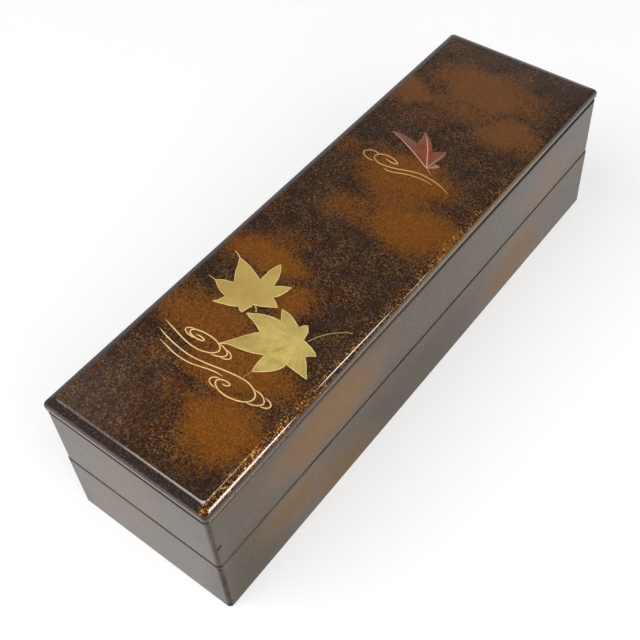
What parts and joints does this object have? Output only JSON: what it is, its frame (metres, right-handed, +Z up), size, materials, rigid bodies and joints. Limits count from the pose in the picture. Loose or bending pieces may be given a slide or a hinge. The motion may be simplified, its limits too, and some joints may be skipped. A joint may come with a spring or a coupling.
{
  "type": "lacquer writing box",
  "caption": "Long slim two-tier lacquered wooden box with a thin lift-off lid, a raised upper tier that nests in the lower tier, and maple and water ornament on the lid.",
  "frame": {"origin": "centre of the bottom, on the surface that the box stands on", "axes": "+Y along the box towards the end that carries the small red leaf, +X across it, +Z up"},
  "size_m": [0.0898, 0.3038, 0.08],
  "materials": {
    "speckled_lacquer": "gloss brown-black lacquer with fine gold speckle and soft orange clouds",
    "side_lacquer": "gloss taupe-brown lacquer with faint orange clouds",
    "inner_lacquer": "satin brown-black lacquer",
    "bare_wood": "plain planed wood",
    "gold_ornament": "satin gold powder under lacquer, for the painted leaves and water lines",
    "red_ornament": "satin red and pink lacquer, for the small painted leaf"
  },
  "bodies": {
    "lower_tier": {"lower_tier_floor": "inner_lacquer", "lower_tier_key_back_left_high": "bare_wood", "lower_tier_key_back_left_low": "bare_wood", "lower_tier_key_back_right_high": "bare_wood", "lower_tier_key_back_right_low": "bare_wood", "lower_tier_key_front_left_high": "bare_wood", "lower_tier_key_front_left_low": "bare_wood", "lower_tier_key_front_right_high": "bare_wood", "lower_tier_key_front_right_low": "bare_wood", "lower_tier_wall_back": "side_lacquer", "lower_tier_wall_front": "side_lacquer", "lower_tier_wall_left": "side_lacquer", "lower_tier_wall_right": "side_lacquer"},
    "upper_tier": {"upper_tier_floor": "inner_lacquer", "upper_tier_foot_strip_back": "inner_lacquer", "upper_tier_foot_strip_front": "inner_lacquer", "upper_tier_foot_strip_left": "inner_lacquer", "upper_tier_foot_strip_right": "inner_lacquer", "upper_tier_key_back_left_high": "bare_wood", "upper_tier_key_back_left_low": "bare_wood", "upper_tier_key_back_right_high": "bare_wood", "upper_tier_key_back_right_low": "bare_wood", "upper_tier_key_front_left_high": "bare_wood", "upper_tier_key_front_left_low": "bare_wood", "upper_tier_key_front_right_high": "bare_wood", "upper_tier_key_front_right_low": "bare_wood", "upper_tier_wall_back": "side_lacquer", "upper_tier_wall_front": "side_lacquer", "upper_tier_wall_left": "side_lacquer", "upper_tier_wall_right": "side_lacquer"},
    "lid": {"lid_board": "speckled_lacquer", "lid_strip_back": "inner_lacquer", "lid_strip_front": "inner_lacquer", "lid_strip_left": "inner_lacquer", "lid_strip_right": "inner_lacquer"}
  },
  "joints": [
    {"name": "upper_tier_lift", "type": "slide", "parent": "lower_tier", "child": "upper_tier", "axis": [0, 0, 1], "range_m": [0, 0.06]},
    {"name": "lid_lift", "type": "slide", "parent": "upper_tier", "child": "lid", "axis": [0, 0, 1], "range_m": [0, 0.05]}
  ]
}
